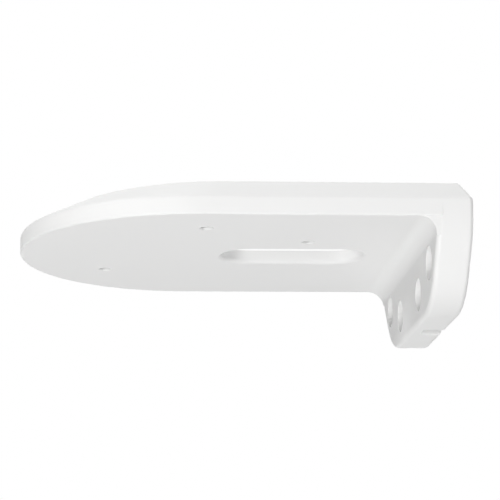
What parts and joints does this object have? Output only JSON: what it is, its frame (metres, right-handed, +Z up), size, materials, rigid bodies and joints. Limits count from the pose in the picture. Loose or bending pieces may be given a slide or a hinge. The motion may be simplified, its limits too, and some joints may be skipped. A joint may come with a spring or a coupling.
{
  "type": "camera bracket",
  "caption": "L-shaped wall bracket for a small dome camera: flat round-nosed arm with an open cable tray on top, and a short leg that screws to the wall.",
  "frame": {"origin": "on the wall plane, midway between the two outer wall screws", "axes": "+Y points into the wall, so the nose points along -Y; +Z is up; +X is to the right for someone who faces the nose"},
  "size_m": [0.1, 0.124, 0.0328],
  "materials": {
    "white_paint": "satin white paint"
  },
  "bodies": {
    "root": {"bracket_body": "white_paint"}
  },
  "joints": []
}
